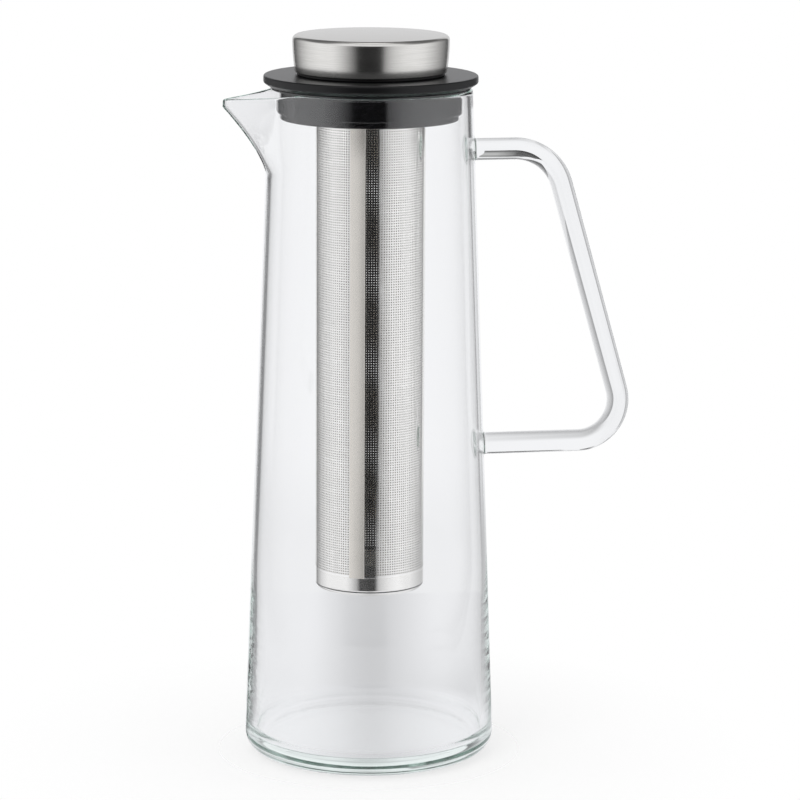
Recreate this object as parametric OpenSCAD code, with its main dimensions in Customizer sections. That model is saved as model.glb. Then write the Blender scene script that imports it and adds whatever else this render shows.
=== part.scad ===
// Fruit infuser pitcher: a tapered glass body with a pulled spout and a fused rod handle, closed by
// a lid ring that carries a fine metal infuser tube under a pull-off metal cap.
// Millimetres. The origin is the middle of the flat foot, Z is up, X runs from the spout to the handle.

/* [Glass body] */
// Height of the glass from the table to the rim
body_h = 266; // [230:1:320]
// Radius at which the line of the wall meets the table
foot_r = 50; // [46:0.5:60]
// Outer radius of the wall at the rim
rim_r = 39.9; // [37:0.1:44]
// Thickness of the blown wall
wall = 2.2; // [1.6:0.1:2.8]
// Thickness of the wall just above the floor
foot_wall = 4; // [3:0.1:6]
// Thickness of the floor
floor_t = 7.2; // [4:0.1:9]
// Outer corner radius round the foot
foot_corner_r = 8; // [4:0.5:12]
// Inner corner radius round the floor
floor_corner_r = 5; // [5:0.5:15]
// Height at which the wall starts to thicken towards the foot
thick_z = 70; // [50:1:100]

/* [Spout] */
// How far the lip reaches past the line of the wall
spout_reach = 18.4; // [12:0.1:22]
// How far below the rim the spout starts to leave the wall
spout_drop = 34; // [26:1:44]
// How far the lip dips below the rim
spout_dip = 3.3; // [1:0.1:6]
// Height of the upright end of the lip
lip_h = 3; // [2:0.1:5]
// Half of the width of the rim that the spout takes, outside
spout_half_w = 22; // [18:0.5:25]
// Half of the width that its channel takes, inside
channel_half_w = 19.5; // [15:0.5:22]
// How much higher the channel leaves the wall than the outside does
channel_lift = 1.2; // [0.5:0.1:2.5]

/* [Handle] */
// Radius of the glass rod
rod_r = 4.35; // [3.5:0.05:5.5]
// Drop from the rim to the middle of the upper arm
handle_drop = 24.6; // [20:0.1:40]
// Drop from the upper arm to the lower arm
handle_span = 118.3; // [95:0.1:140]
// Distance from the wall to the upper corner of the rod's line
top_reach = 31.9; // [26:0.1:40]
// Distance from the wall to the lower corner of the rod's line
low_reach = 60.8; // [50:0.1:66]
// Bend radius of the upper corner
top_bend_r = 20; // [12:0.1:24]
// Bend radius of the lower corner
low_bend_r = 16.1; // [10:0.1:19]
// Extra radius where the rod is fused to the wall
root_flare = 1.5; // [0.6:0.1:2.5]
// How much the rod thins in its bends
bend_thinning = 0.03; // [0.02:0.01:0.1]

/* [Lid ring] */
// How far the flange stands out past the glass rim
flange_overhang = 2.1; // [1:0.1:5]
// Thickness of the flange
flange_t = 4.6; // [3.8:0.1:7]
// Height of the flange's upright edge
flange_edge_h = 2.8; // [1.6:0.1:3.4]
// Rounding of the flange's upper edge
flange_edge_r = 0.8; // [0.3:0.1:1.4]
// Wall thickness of the moulded ring
ring_wall = 1.8; // [1.2:0.1:2.4]
// How far the seal stays clear of the glass neck, so that the drink can pass
neck_gap = 2; // [1:0.1:3]
// Depth of the seal below the rim
seal_h = 11.7; // [9:0.1:20]
// Thickness of the seal
seal_t = 4.1; // [2.5:0.1:4.5]
// Thickness of the seal's lip on the rim
seal_lip_t = 0.8; // [0.5:0.1:1.5]
// How far the seal's lip stops short of the outside of the rim
seal_lip_inset = 0.6; // [0.2:0.1:0.9]
// Step in radius near the seal's lower end
seal_step = 1.2; // [0.5:0.1:2]
// Height of that step
seal_step_h = 2.4; // [1.5:0.1:4]
// Thickness of the hem that holds the seal under the ring
seal_hem = 1; // [0.6:0.1:1.4]

/* [Infuser] */
// Outer radius of the infuser tube
tube_r = 21.6; // [18:0.1:23]
// Thickness of the etched sheet
tube_t = 0.5; // [0.3:0.05:0.6]
// Length of the infuser, with its collar and its base
infuser_h = 204.7; // [150:0.1:225]
// Height of the plain base
base_h = 7.7; // [5:0.1:14]
// Corner radius of the base
base_corner_r = 2.5; // [1.5:0.1:4]
// Thickness of the collar and of the base
collar_wall = 1; // [0.8:0.05:1.4]
// Width of the collar's hanging rim past the tube
collar_rim = 5.9; // [3:0.1:7]
// Thickness of the hanging rim
collar_t = 1.2; // [0.8:0.1:1.6]
// Length of the collar
collar_h = 9.5; // [7:0.1:14]
// Length of the lap joints at both ends of the sheet
lap_h = 3; // [2:0.1:5]
// Angle that the plain lap of the sheet's seam takes
seam_angle = 16; // [8:1:24]
// Direction of the middle of the seam
seam_dir = 246; // [0:1:359]
// Clearance of the tube in the ring's bore
bore_gap = 0.4; // [0.3:0.05:0.8]

/* [Cap] */
// Largest radius of the cap
cap_r = 30.7; // [30:0.1:34]
// Radius of the cap at its lower edge
cap_foot_r = 29.8; // [28:0.1:30.5]
// Height of the metal cap
cap_h = 15.2; // [11:0.1:24]
// Gap between the metal cap and the flange
cap_gap = 1.2; // [0.6:0.1:3]
// Thickness of the metal
cap_t = 0.8; // [0.5:0.1:1.1]
// Edge radius of the cap
cap_edge_r = 1.5; // [1.2:0.1:3]
// Height of the cap's crown
cap_crown = 0.8; // [0.4:0.1:2]
// Wall thickness of the moulded core
core_wall = 2; // [1.4:0.1:2.2]
// Length of the plug below the core
plug_h = 8; // [6:0.1:9]
// Clearance of the plug in the collar
plug_gap = 1; // [0.6:0.1:1.4]
// Wall thickness of the plug
plug_wall = 2.6; // [2:0.1:4]
// Clearance of the gasket in the collar
gasket_gap = 0.3; // [0.25:0.05:0.5]
// Depth of the gasket's groove
groove_d = 1.2; // [0.6:0.1:1.5]
// Height of the gasket
gasket_h = 2.4; // [1.5:0.1:3]

/* [Hidden] */
$fn = 96;
// Rest gap under each piece that lifts off
seat_gap = 0.1;
// Gap between pieces that are assembled into one unit
fit_gap = 0.1;
// Overrun of the cuts
overrun = 3;
// How far the roots of the handle start inside the wall
root_sink = 1.5;
// How far the straight runs of the rod reach into its bends
bend_lap = 0.4;
// How far the rounds of the rim and of the floor's corner stand past the lines that they join
round_bulge = 0.02;
// Shape of the spout: growth with height, sharpness across, softness of the tip
spout_growth = 1.4;
spout_sharpness = 1.8;
dip_sharpness = 0.5;
tip_soft = 2.4;
// Panel of the wall that the spout is pulled from: its margin beside the spout, how far it laps into the
// wall round it and stays inside its faces, its rows, columns and edge steps, and its spacing in the middle
panel_margin = 1;
panel_lap = 0.5;
panel_inset = 0.05;
panel_rows = 9;
panel_cols = 28;
edge_steps = 6;
mid_share = 0.85;

// Slopes of the wall, outside and inside, and the length of a slope's unit normal
slope_share = (foot_r - rim_r) / body_h;
slope_norm = sqrt(1 + slope_share * slope_share);
thick_in_r = wall_r(thick_z) - wall;
floor_in_r = wall_r(floor_t) - foot_wall;
in_slope_share = (floor_in_r - thick_in_r) / (thick_z - floor_t);
in_slope_norm = sqrt(1 + in_slope_share * in_slope_share);
// Round of the rim and its middle
round_r = wall / 2 / slope_norm;
round_z = body_h - round_r;
round_mid_r = wall_r(round_z) - wall / 2;
// Heights of the spout
spout_z = body_h - spout_drop;
lip_z = body_h - spout_dip - lip_h;
panel_half_w = spout_half_w + panel_margin;

// Line of the handle
top_z = body_h - handle_drop;
low_z = top_z - handle_span;
top_x = wall_r(top_z) + top_reach;
low_x = wall_r(low_z) + low_reach;
grip_lean = atan((low_x - top_x) / handle_span);
top_turn = 90 - grip_lean;
low_turn = 90 + grip_lean;
top_bend_x = top_x - top_bend_r * tan(top_turn / 2);
top_bend_z = top_z - top_bend_r;
low_bend_x = low_x - low_bend_r * tan(low_turn / 2);
low_bend_z = low_z + low_bend_r;
grip_low_x = low_bend_x + low_bend_r * cos(grip_lean);
grip_low_z = low_bend_z + low_bend_r * sin(grip_lean);
grip_top_x = top_bend_x + top_bend_r * cos(grip_lean);
grip_top_z = top_bend_z + top_bend_r * sin(grip_lean);
grip_len = norm([grip_top_x - grip_low_x, grip_top_z - grip_low_z]);

// Heights and radii of the lid
lip_seat_z = body_h + seat_gap;
flange_z = lip_seat_z + seal_lip_t;
deck_z = flange_z + flange_t;
flange_r = rim_r + flange_overhang;
seal_lip_r = rim_r - seal_lip_inset;
seal_r = rim_r - wall - neck_gap;
seal_z = body_h - seal_h;
sleeve_r = seal_r - seal_t;
sleeve_z = seal_z + seal_hem;
bore_r = tube_r + bore_gap;
recess_r = tube_r + collar_rim + bore_gap;
recess_z = deck_z - collar_t - seat_gap;

// Heights and radii of the infuser
tube_z = deck_z - infuser_h;
mesh_z = tube_z + base_h;
mesh_top_z = deck_z - collar_h;
tube_in_r = tube_r - tube_t;
lap_r = tube_in_r - fit_gap;
collar_in_r = tube_r - collar_wall;

// Heights and radii of the cap
cap_z = deck_z + cap_gap;
cap_top_z = cap_z + cap_h;
cap_shoulder_z = cap_top_z - cap_crown - cap_edge_r;
cap_flat_r = cap_r - cap_edge_r;
crown_r = (cap_flat_r * cap_flat_r + cap_crown * cap_crown) / (2 * cap_crown);
core_z = deck_z + seat_gap;
core_r = cap_foot_r - cap_t - fit_gap;
core_top_z = cap_top_z - cap_crown - cap_t - fit_gap;
plug_r = collar_in_r - plug_gap;
plug_z = core_z - plug_h;
groove_r = plug_r - groove_d;
groove_z = core_z - plug_h / 2 - gasket_h / 2;

// Outer radius of the wall at a height
function wall_r(z) = foot_r - (foot_r - rim_r) * z / body_h;

// How much of the spout there is across from its middle: 1 at the lip, 0 past the half width
function spout_share(y, half_w) =
    abs(y) >= half_w ? 0 : pow(1 - softened(y) / softened(half_w), spout_sharpness);

// Distance across from the middle of the spout, rounded off near the middle
function softened(y) = sqrt(y * y + tip_soft * tip_soft) - tip_soft;

// How much of its reach the spout has at a height
function rise_share(z) =
    z <= spout_z ? 0 : min(1, pow((z - spout_z) / (lip_z - spout_z), spout_growth));

// Height of the rim across the spout
function rim_z(y) = body_h - spout_dip * pow(spout_share(y, spout_half_w), dip_sharpness);

// How far a wall of a radius stands out with its spout, which leaves the wall a lift above its start
function spout_x(y, z, r, half_w, lift) =
    sqrt(r * r - y * y) + spout_reach * rise_share(z - lift) * spout_share(y, half_w);

// Closed line of points across the panel: up its outside, over the rounded edge and down its inside
function panel_line(y) =
    let (
        edge_z = rim_z(y) - round_r,
        rows = concat(
            [spout_z - panel_lap],
            [for (j = [0:panel_rows - 1]) spout_z + (edge_z - spout_z) * j / (panel_rows - 1)]
        ),
        outer = [for (z = rows) spout_x(y, z, wall_r(z), spout_half_w, 0) - panel_inset],
        inner = [for (z = rows) spout_x(y, z, wall_r(z) - wall, channel_half_w, channel_lift) + panel_inset],
        mid_x = (outer[panel_rows] + inner[panel_rows]) / 2,
        half_t = (outer[panel_rows] - inner[panel_rows]) / 2
    )
    concat(
        [for (j = [0:panel_rows]) [-outer[j], y, rows[j]]],
        [for (j = [1:edge_steps - 1])
            let (t = 180 * j / edge_steps)
            [-mid_x - half_t * cos(t), y, edge_z + (round_r - panel_inset) * sin(t)]],
        [for (j = [panel_rows:-1:0]) [-inner[j], y, rows[j]]]
    );

// Panel of the wall with the spout
module spout_panel() {
    across = concat(
        [-panel_half_w - panel_lap],
        [for (i = [0:panel_cols - 2])
            let (t = 2 * i / (panel_cols - 2) - 1)
            panel_half_w * t * (mid_share + (1 - mid_share) * t * t)],
        [panel_half_w + panel_lap]
    );
    lines = [for (y = across) panel_line(y)];
    rows = len(lines[0]);
    last = rows - 1;
    crest = last / 2;
    far = panel_cols * rows;
    polyhedron([for (line = lines) each line], concat(
        [for (i = [0:panel_cols - 1], j = [0:last - 1])
            [i * rows + j, (i + 1) * rows + j, (i + 1) * rows + j + 1]],
        [for (i = [0:panel_cols - 1], j = [0:last - 1])
            [i * rows + j, (i + 1) * rows + j + 1, i * rows + j + 1]],
        [for (i = [0:panel_cols - 1])
            [i * rows + last, (i + 1) * rows + last, (i + 1) * rows, i * rows]],
        [for (j = [0:crest - 2])
            [j, j + 1, last - j - 1, last - j]],
        [for (j = [0:crest - 2])
            [far + last - j, far + last - j - 1, far + j + 1, far + j]],
        [[crest - 1, crest, crest + 1], [far + crest + 1, far + crest, far + crest - 1]]
    ));
}

// Half section of the glass with its inside filled: foot, corner, wall and rounded rim
module body_section() {
    corner_mid_r = foot_r - slope_share * foot_corner_r - slope_norm * foot_corner_r;
    corner_end = [
        corner_mid_r + foot_corner_r / slope_norm,
        foot_corner_r + foot_corner_r * slope_share / slope_norm
    ];
    polygon([
        [0, 0],
        [corner_mid_r, 0],
        [corner_mid_r, foot_corner_r],
        corner_end,
        rim_point(1),
        rim_point(-1),
        [0, rim_point(-1)[1]]
    ]);
    translate([corner_mid_r, foot_corner_r])
        circle(r = foot_corner_r);
    translate([round_mid_r, round_z - round_bulge])
        circle(r = round_r + round_bulge);
}

// Where the rim's round meets the wall: side 1 outside, -1 inside
function rim_point(side) = [
    round_mid_r + side * round_r / slope_norm,
    round_z + side * round_r * slope_share / slope_norm
];

// Half section of the space inside the glass
module space_section() {
    corner_mid_r = floor_in_r - in_slope_share * floor_corner_r - in_slope_norm * floor_corner_r;
    corner_mid_z = floor_t + floor_corner_r;
    corner_end = [
        corner_mid_r + floor_corner_r / in_slope_norm,
        corner_mid_z + floor_corner_r * in_slope_share / in_slope_norm
    ];
    polygon([
        [0, floor_t],
        [corner_mid_r, floor_t],
        [corner_mid_r, corner_mid_z],
        corner_end,
        [thick_in_r, thick_z],
        [wall_r(body_h + overrun) - wall, body_h + overrun],
        [0, body_h + overrun]
    ]);
    translate([corner_mid_r, corner_mid_z])
        circle(r = floor_corner_r + round_bulge);
}

// Blown glass body with its pulled spout
module glass_body() {
    color("lightcyan") {
        difference() {
            rotate_extrude() body_section();
            rotate_extrude() space_section();
            translate([-foot_r, -panel_half_w, spout_z])
                cube([foot_r, 2 * panel_half_w, spout_drop + overrun]);
        }
        spout_panel();
    }
}

// Arm of the handle at a height, from inside the wall to its bend, with its fused root
module handle_arm(z, end_x) {
    start_x = wall_r(z) - root_sink;
    translate([start_x, 0, z])
    rotate([0, 90, 0]) {
        cylinder(r = rod_r, h = end_x - start_x + bend_lap);
        cylinder(r = rod_r + root_flare, h = root_sink);
        translate([0, 0, root_sink])
        rotate_extrude()
        difference() {
            square([rod_r + root_flare, root_flare]);
            translate([rod_r + root_flare, root_flare])
                circle(r = root_flare);
        }
    }
}

// Bend of the rod about a point, over an angle from a start direction
module handle_bend(x, z, r, start, turn) {
    translate([x, 0, z])
    rotate([90, 0, 0])
    rotate([0, 0, start])
    rotate_extrude(angle = turn)
    translate([r, 0])
        circle(r = rod_r - bend_thinning);
}

// Solid glass rod, bent to a grip and fused to the wall at both ends
module glass_handle() {
    color("paleturquoise")
    difference() {
        union() {
            handle_arm(top_z, top_bend_x);
            handle_bend(top_bend_x, top_bend_z, top_bend_r, grip_lean, top_turn);
            translate([grip_low_x, 0, grip_low_z])
            rotate([0, -grip_lean, 0])
            translate([0, 0, -bend_lap])
                cylinder(r = rod_r, h = grip_len + 2 * bend_lap);
            handle_bend(low_bend_x, low_bend_z, low_bend_r, -90, low_turn);
            handle_arm(low_z, low_bend_x);
        }
        rotate_extrude() body_section();
    }
}

// Moulded ring: flange, two sleeves below it, a bore for the infuser and a recess for its collar
module lid_ring() {
    color("#202124")
    rotate_extrude()
    difference() {
        union() {
            polygon([
                [bore_r, flange_z],
                [seal_lip_r, flange_z],
                [flange_r, deck_z - flange_edge_h],
                [flange_r, deck_z - flange_edge_r],
                [flange_r - flange_edge_r, deck_z],
                [bore_r, deck_z]
            ]);
            translate([flange_r - flange_edge_r, deck_z - flange_edge_r])
                circle(r = flange_edge_r);
            translate([bore_r, sleeve_z])
                square([ring_wall, deck_z - sleeve_z]);
            translate([sleeve_r - ring_wall, sleeve_z])
                square([ring_wall, flange_z - sleeve_z + ring_wall]);
        }
        translate([0, recess_z])
            square([recess_r, deck_z - recess_z + overrun]);
    }
}

// Stepped silicone seal under the flange, with a lip on the rim and a hem under the ring
module neck_seal() {
    color("dimgray")
    rotate_extrude()
    polygon([
        [sleeve_r - ring_wall, seal_z],
        [seal_r - seal_step, seal_z],
        [seal_r - seal_step, seal_z + seal_step_h],
        [seal_r, seal_z + seal_step_h],
        [seal_r, lip_seat_z],
        [seal_lip_r, lip_seat_z],
        [seal_lip_r, flange_z],
        [sleeve_r, flange_z],
        [sleeve_r, sleeve_z],
        [sleeve_r - ring_wall, sleeve_z]
    ]);
}

// Collar that hangs the infuser in the ring, with the lap for the etched sheet
module infuser_collar() {
    color("silver")
    rotate_extrude()
    polygon([
        [collar_in_r, mesh_top_z - lap_h],
        [lap_r, mesh_top_z - lap_h],
        [lap_r, mesh_top_z],
        [tube_r, mesh_top_z],
        [tube_r, deck_z - collar_t],
        [tube_r + collar_rim, deck_z - collar_t],
        [tube_r + collar_rim, deck_z],
        [collar_in_r, deck_z]
    ]);
}

// Etched sheet rolled into a tube, with the plain lap of its seam on the inside
module infuser_mesh() {
    color("gainsboro") {
        rotate_extrude()
        translate([tube_in_r, mesh_z])
            square([tube_t, mesh_top_z - mesh_z]);
        rotate([0, 0, seam_dir - seam_angle / 2])
        rotate_extrude(angle = seam_angle)
        translate([tube_in_r - tube_t, mesh_z + lap_h + tube_t])
            square([tube_t + tube_t / 2, mesh_top_z - mesh_z - 2 * (lap_h + tube_t)]);
    }
}

// Pressed base that closes the tube, lapped inside the sheet
module infuser_base() {
    color("silver")
    rotate_extrude()
    difference() {
        union() {
            translate([0, tube_z])
                square([tube_r - base_corner_r, base_corner_r]);
            translate([tube_r - base_corner_r, tube_z + base_corner_r])
            intersection() {
                circle(r = base_corner_r);
                translate([0, -base_corner_r])
                    square(base_corner_r);
            }
            translate([0, tube_z + base_corner_r])
                square([tube_r, base_h - base_corner_r]);
            translate([0, mesh_z - base_corner_r])
                square([lap_r, base_corner_r + lap_h]);
        }
        translate([0, tube_z + base_corner_r])
            square([collar_in_r, base_h + overrun]);
        translate([0, tube_z + collar_wall])
            square([tube_r - base_corner_r, base_corner_r]);
        translate([tube_r - base_corner_r, tube_z + base_corner_r])
            circle(r = base_corner_r - collar_wall);
    }
}

// Half section of the cap, taken in by an inset all round
module cap_section(inset, low_z) {
    polygon([
        [0, low_z],
        [cap_foot_r - inset, low_z],
        [cap_foot_r - inset, cap_z],
        [cap_r - inset, cap_shoulder_z],
        [cap_flat_r, cap_shoulder_z + cap_edge_r - inset],
        [0, cap_shoulder_z + cap_edge_r - inset]
    ]);
    translate([cap_flat_r, cap_shoulder_z])
        circle(r = cap_edge_r - inset);
    intersection() {
        translate([0, cap_shoulder_z])
            square([cap_flat_r, cap_edge_r + cap_crown]);
        translate([0, cap_top_z - crown_r])
            circle(r = crown_r - inset, $fn = 1440);
    }
}

// Drawn metal shell of the cap
module steel_cap() {
    color("lightgray")
    rotate_extrude()
    intersection() {
        difference() {
            cap_section(0, cap_z);
            cap_section(cap_t, cap_z - overrun);
        }
        translate([0, cap_z])
            square([cap_r + overrun, cap_h + overrun]);
    }
}

// Moulded core under the shell, with the plug that closes the infuser
module cap_core() {
    color("#2b2c2e")
    rotate_extrude()
    difference() {
        union() {
            translate([0, core_z])
                square([core_r, core_wall]);
            translate([core_r - core_wall, core_z])
                square([core_wall, core_top_z - core_z]);
            translate([plug_r - plug_wall, plug_z])
                square([plug_wall, plug_h + core_wall]);
        }
        translate([groove_r, groove_z])
            square([groove_d + overrun, gasket_h]);
    }
}

// Silicone gasket in the plug's groove
module cap_gasket() {
    color("gray")
    rotate_extrude()
    translate([groove_r, groove_z])
        square([collar_in_r - gasket_gap - groove_r, gasket_h]);
}

glass_body();
glass_handle();
lid_ring();
neck_seal();
infuser_collar();
infuser_mesh();
infuser_base();
steel_cap();
cap_core();
cap_gasket();
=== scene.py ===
# %% [markdown]
# # Fruit infuser pitcher
# The real object is a tall blown glass pitcher with a pulled spout and a handle bent from glass rod.
# A black lid ring sits in its neck on a stepped seal and hangs a finely etched metal tube for fruit,
# and a brushed metal cap closes the tube from above.
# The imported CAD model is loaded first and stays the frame: every surface below is worked out in the
# same place and the same size, and takes over from the CAD solid that it stands for.

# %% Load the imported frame
import math

import bpy
import numpy as np
from mathutils import Matrix, Vector


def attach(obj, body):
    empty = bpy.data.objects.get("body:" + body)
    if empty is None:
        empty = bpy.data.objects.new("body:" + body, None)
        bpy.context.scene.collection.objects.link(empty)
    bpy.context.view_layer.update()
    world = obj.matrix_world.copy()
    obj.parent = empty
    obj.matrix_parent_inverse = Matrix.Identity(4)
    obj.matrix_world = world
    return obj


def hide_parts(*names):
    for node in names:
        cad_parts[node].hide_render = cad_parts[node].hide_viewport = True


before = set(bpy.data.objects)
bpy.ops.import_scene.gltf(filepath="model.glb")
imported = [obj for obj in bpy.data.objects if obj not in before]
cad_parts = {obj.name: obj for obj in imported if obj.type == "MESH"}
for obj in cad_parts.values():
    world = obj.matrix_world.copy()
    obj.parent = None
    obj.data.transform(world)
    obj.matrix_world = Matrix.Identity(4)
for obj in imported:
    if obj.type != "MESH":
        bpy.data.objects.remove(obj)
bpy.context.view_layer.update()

# %% [markdown]
# ## The camera
# The photograph was taken from a little above, with a long lens. The distance, height and tilt come
# from fitting the ellipses of the rim, seal, tube and foot. The spout comes a little towards the viewer.

# %% Camera at the photograph's angle
MM = 0.001
view_turn, view_tilt, view_roll = (math.radians(degrees) for degrees in (-10.49, 11.13, 0.282))
camera_from_axis, lens_mm, film_mm = (11.95, -1492.4, 435.7), 172.56, 36
turned = Matrix.Rotation(view_turn, 3, "Z")
camera_place = turned @ Vector(camera_from_axis) * MM
camera_line = turned @ Vector((0, math.cos(view_tilt), -math.sin(view_tilt)))

camera = bpy.data.objects.new("camera", bpy.data.cameras.new("camera"))
bpy.context.scene.collection.objects.link(camera)
camera.data.sensor_width = film_mm
camera.data.lens = lens_mm
camera.data.clip_start = 0.05
camera.data.clip_end = 50
facing = camera_line.to_track_quat("-Z", "Y").to_matrix() @ Matrix.Rotation(view_roll, 3, "Z")
camera.matrix_world = Matrix.Translation(camera_place) @ facing.to_4x4()
bpy.context.scene.camera = camera
print("camera at", [round(v, 4) for v in camera_place])

# %% [markdown]
# ## From grids to meshes
# Every piece is a grid of points: one parameter runs along a profile or a path, the other runs round.
# Two closed forms are enough. A ring is closed both ways, and a pod is closed round and runs from one
# end point to another. Whole arrays keep the seams and the poles closed, and the sign of the volume
# tells whether the faces look outwards.

# %% Closed meshes from grids of points
def full_turn(cols):
    """Even angles of a full turn."""
    return np.linspace(0, 2 * np.pi, cols, endpoint=False)


def xyz(x, y, z):
    """Points from three arrays of coordinates, spread to a common shape."""
    return np.stack(np.broadcast_arrays(x, y, z), axis=-1)


def signed_volume(points, faces):
    """Sum of a . (b x c) / 6 over a fan of triangles in each face: negative if the faces look inwards."""
    corners = points[faces]
    fans = [np.einsum("ij,ij->i", corners[:, 0], np.cross(corners[:, k], corners[:, k + 1]))
            for k in range(1, faces.shape[1] - 1)]
    return float(np.sum(fans)) / 6


def band_faces(rows, cols, wrap_rows):
    """Corners of the quads between neighbouring grid points, closed round the columns."""
    i = np.arange(rows if wrap_rows else rows - 1)[:, None]
    j = np.arange(cols)[None, :]
    below, beside = (i + 1) % rows, (j + 1) % cols
    quads = np.stack([i * cols + j, i * cols + beside, below * cols + beside, below * cols + j], axis=-1)
    return quads.reshape(-1, 4)


def mesh_object(name, points, faces):
    """A mesh object in the scene, from points in metres."""
    mesh = bpy.data.meshes.new(name)
    mesh.from_pydata(points.tolist(), [], faces)
    made = bpy.data.objects.new(name, mesh)
    bpy.context.scene.collection.objects.link(made)
    return made


def mesh_piece(name, points, quads, tris, body, node, slot):
    """One smooth piece, from points in millimetres, which rides on a body and stands for its CAD node."""
    volume = signed_volume(points, quads) + signed_volume(points, tris)
    if volume < 0:
        quads, tris = quads[:, ::-1], tris[:, ::-1]
    piece = mesh_object(name, points * MM, quads.tolist() + tris.tolist())
    piece.data.shade_smooth()
    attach(piece, body)
    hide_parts(node)
    print(f"{name}: {len(points)} points, {abs(volume) / 1000:.1f} cm3")
    return piece


def ring_piece(name, grid, *home):
    """A grid that is closed along its rows and round its columns. Its home is a body and a CAD node; the slot that
    it is given is not used.
    """
    rows, cols = grid.shape[:2]
    none = np.zeros((0, 3), int)
    return mesh_piece(name, grid.reshape(-1, 3), band_faces(rows, cols, True), none, *home)


def pod_piece(name, grid, first, last, *home):
    """A grid that is closed round its columns, with a fan to an end point at each end."""
    rows, cols = grid.shape[:2]
    points = np.concatenate([grid.reshape(-1, 3), [first, last]])
    j = np.arange(cols)
    beside = (j + 1) % cols
    start = np.stack([np.full(cols, rows * cols), beside, j], axis=-1)
    last_row = (rows - 1) * cols
    end = np.stack([np.full(cols, rows * cols + 1), last_row + j, last_row + beside], axis=-1)
    fans = np.concatenate([start, end])
    return mesh_piece(name, points, band_faces(rows, cols, False), fans, *home)


# %% [markdown]
# ## Turned sections
# The lid, the cap and the infuser are all round, so each is a half section carried round the axis.
# Real edges are never sharp: a moulded, pressed or turned corner has a small round that catches the
# light. Each corner of a section is therefore swapped for a short curve that leaves along one side
# and arrives along the other.

# %% Softened corners and turning
most_of_side, guard_reach = 0.42, 1.15


def softened(corners, cuts, steps=6, closed=True):
    """Corner P becomes P + c ((1 - s)^2 a + s^2 b) for s from 0 to 1, with a and b the unit sides and c the cut.
    A guard point beyond each end of the curve keeps the flat sides flat in the shading."""
    corners = np.array(corners, float)
    cuts = np.broadcast_to(np.array(cuts, float), (len(corners),))
    back = np.roll(corners, 1, axis=0) - corners
    ahead = np.roll(corners, -1, axis=0) - corners
    back_len = np.linalg.norm(back, axis=1, keepdims=True)
    ahead_len = np.linalg.norm(ahead, axis=1, keepdims=True)
    cut = np.minimum(cuts[:, None], most_of_side * np.minimum(back_len, ahead_len))
    a, b = back / back_len, ahead / ahead_len
    s = np.linspace(0, 1, steps + 1)[None, :, None]
    curve = corners[:, None] + cut[:, None] * ((1 - s) ** 2 * a[:, None] + s**2 * b[:, None])
    before = corners + a * cut * guard_reach
    after = corners + b * cut * guard_reach
    line = np.concatenate([before[:, None], curve, after[:, None]], axis=1)
    return line.reshape(-1, 2) if closed else line[1:-1].reshape(-1, 2)


def turned_grid(section, cols=192):
    """Points (r cos t, r sin t, z) of a half section (r, z) carried round the axis."""
    t = full_turn(cols)
    r, z = section[:, 0][:, None], section[:, 1][:, None]
    return xyz(r * np.cos(t), r * np.sin(t), z)


def turned_ring(name, corners, cuts, *home, cols=192):
    """A closed section with softened corners, turned to a ring."""
    return ring_piece(name, turned_grid(softened(corners, cuts), cols), *home)


def turned_pod(name, corners, cuts, *home):
    """A section that starts and ends on the axis, turned to a closed body."""
    section = softened(corners, cuts, closed=False)
    first, last = (0, 0, corners[0][1]), (0, 0, corners[-1][1])
    return pod_piece(name, turned_grid(section), first, last, *home)


# %% [markdown]
# ## Helpers for the finishes
# A finish is a small tree of shader nodes. Two effects return on several pieces, so they are node
# groups: the fine rings that turning and brushing leave on metal, and the faint mottle of a moulded
# surface. Both read the object's own coordinates, so they stay in place from every side.

# %% Nodes, links and materials
def add_node(tree, kind, values=(), **settings):
    """A node with its settings. Its inputs, by socket name or number, take a value or a link from a socket."""
    made = tree.nodes.new(kind)
    for key, value in settings.items():
        setattr(made, key, value)
    for key, value in dict(values).items():
        if isinstance(value, bpy.types.NodeSocket):
            tree.links.new(value, made.inputs[key])
        else:
            made.inputs[key].default_value = value
    return made


def empty_material(name):
    """A material without nodes: returns the material and its tree."""
    made = bpy.data.materials.new(name)
    made.use_nodes = True
    made.node_tree.nodes.clear()
    return made, made.node_tree


def on_surface(tree, shader):
    """The material's output, with a shader on its surface."""
    return add_node(tree, "ShaderNodeOutputMaterial", {"Surface": shader})


def dress(finish, *pieces):
    """Puts a finish on pieces."""
    for piece in pieces:
        piece.data.materials.append(finish)
    print(finish.name, "on", *(piece.name for piece in pieces))


def principled(tree, values):
    """A Principled shader with its inputs, on the material's output."""
    return on_surface(tree, add_node(tree, "ShaderNodeBsdfPrincipled", values).outputs["BSDF"])


# %% Numbers, vectors and masks in a tree
def maths(tree, operation, *values):
    """The result of an operation on one to three numbers."""
    return add_node(tree, "ShaderNodeMath", dict(enumerate(values)), operation=operation).outputs[0]


def both(tree, a, b):
    """The product of two masks or levels."""
    return maths(tree, "MULTIPLY", a, b)


def either(tree, a, b):
    """The larger of two masks or levels."""
    return maths(tree, "MAXIMUM", a, b)


def between(tree, value, middle, half):
    """1 where a value lies within a half width of a middle."""
    return maths(tree, "COMPARE", value, middle, half)


def spread(tree, value, low, high, start=0.0, stop=1.0, soft=False):
    """From low to high while a value runs from start to stop, evenly or with soft ends."""
    made = add_node(tree, "ShaderNodeMapRange", {
        "Value": value, "From Min": start, "From Max": stop, "To Min": low, "To Max": high,
    }, interpolation_type="SMOOTHSTEP" if soft else "LINEAR")
    return made.outputs["Result"]


def vector_maths(tree, operation, *values):
    """The result of an operation on vectors: a length or a distance is a number."""
    made = add_node(tree, "ShaderNodeVectorMath", dict(enumerate(values)), operation=operation)
    return made.outputs["Value" if operation in ("LENGTH", "DISTANCE") else "Vector"]


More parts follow.
